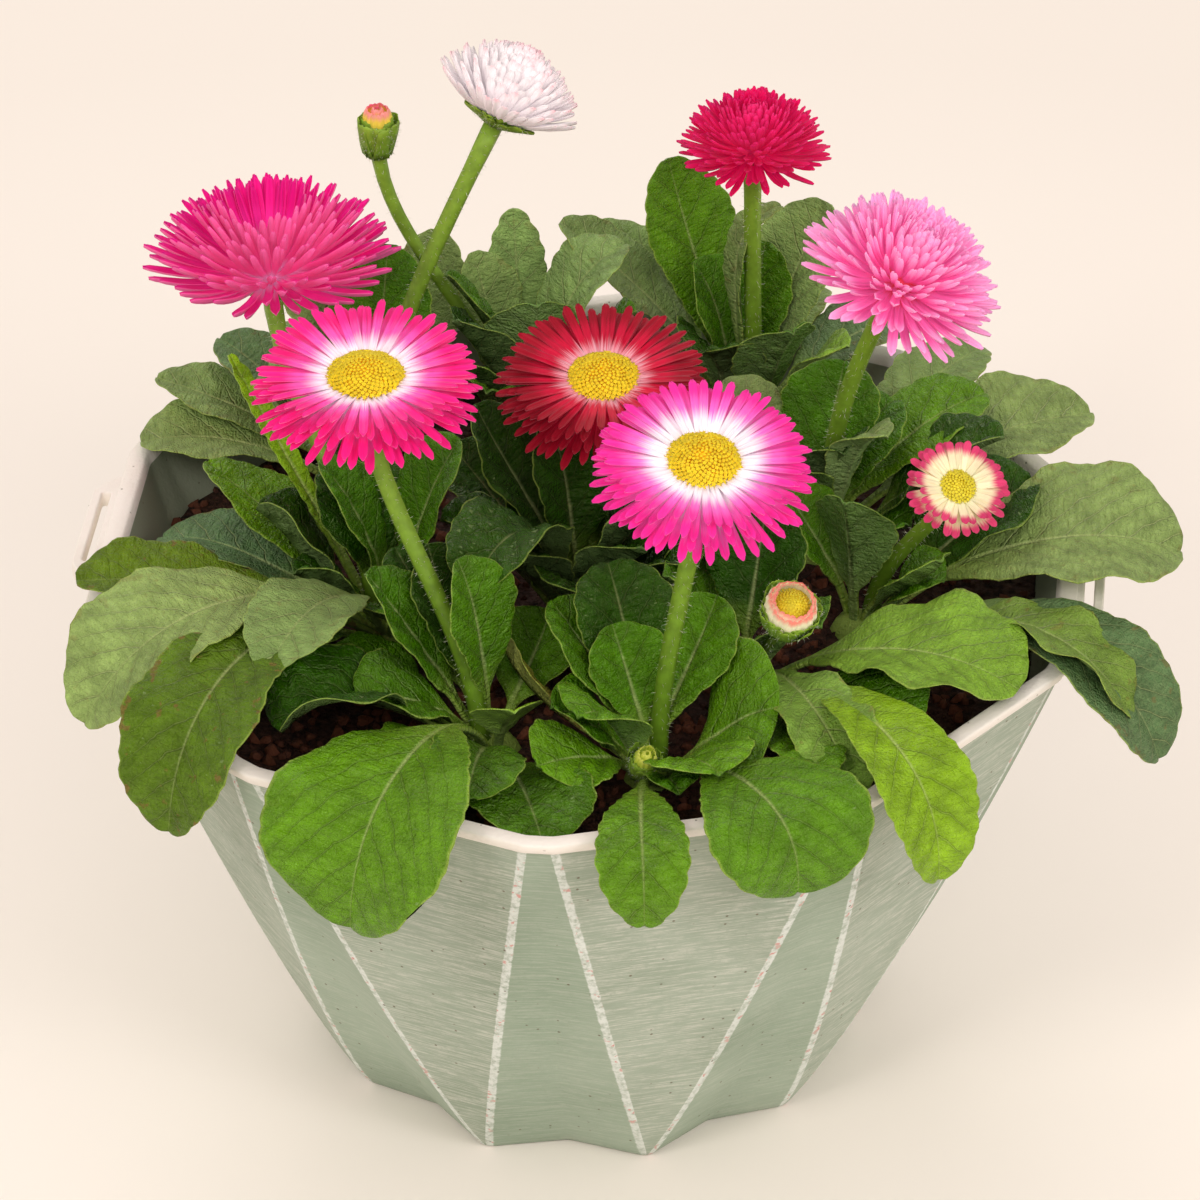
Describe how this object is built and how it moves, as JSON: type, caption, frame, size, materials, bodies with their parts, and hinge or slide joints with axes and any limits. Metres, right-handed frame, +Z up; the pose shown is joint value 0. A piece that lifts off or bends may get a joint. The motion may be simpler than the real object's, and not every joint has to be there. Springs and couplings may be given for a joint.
{
  "type": "potted english daisy",
  "caption": "Potted english daisy: a faceted bowl planter with slotted grip tabs, filled with peat and a bed of leafy bellis plants with pink, red, white and cream blooms and buds",
  "frame": {"origin": "Middle of the pot's flat underside, on the surface that the pot stands on", "axes": "+Z up, -Y towards the side that the picture shows, +X to the right in the picture"},
  "size_m": [0.2611, 0.2521, 0.2342],
  "materials": {
    "pot": "matte",
    "soil": "matte",
    "leaf": "satin",
    "petal_magenta": "matte",
    "petal_white": "matte",
    "petal_crimson": "matte",
    "petal_light_pink": "matte",
    "petal_pink": "matte",
    "petal_red": "matte",
    "petal_cream": "matte",
    "petal_bud_cream": "matte",
    "petal_bud_pink": "matte",
    "petal_bud_green": "matte",
    "disc_yellow": "matte",
    "disc_coral": "matte"
  },
  "bodies": {
    "root": {"pot": "pot", "soil": "soil", "plant_front": "leaf", "plant_front_left": "leaf", "plant_left": "leaf", "plant_back_left": "leaf", "plant_centre": "leaf", "plant_back": "leaf", "plant_back_right": "leaf", "plant_right": "leaf", "plant_middle_right": "leaf", "plant_right_front": "leaf", "rays_magenta_left": "petal_magenta", "rays_white_back_left": "petal_white", "rays_crimson_back_right": "petal_crimson", "rays_pink_right": "petal_light_pink", "rays_pink_front_left": "petal_pink", "rays_red_centre": "petal_red", "rays_pink_front": "petal_pink", "rays_cream_right": "petal_cream", "rays_bud_opening": "petal_bud_cream", "rays_bud_back": "petal_bud_pink", "rays_bud_front": "petal_bud_green", "disc_magenta_left": "disc_yellow", "disc_pink_right": "disc_coral", "disc_pink_front_left": "disc_yellow", "disc_red_centre": "disc_yellow", "disc_pink_front": "disc_yellow", "disc_cream_right": "disc_yellow", "disc_bud_opening": "disc_yellow"}
  },
  "joints": []
}
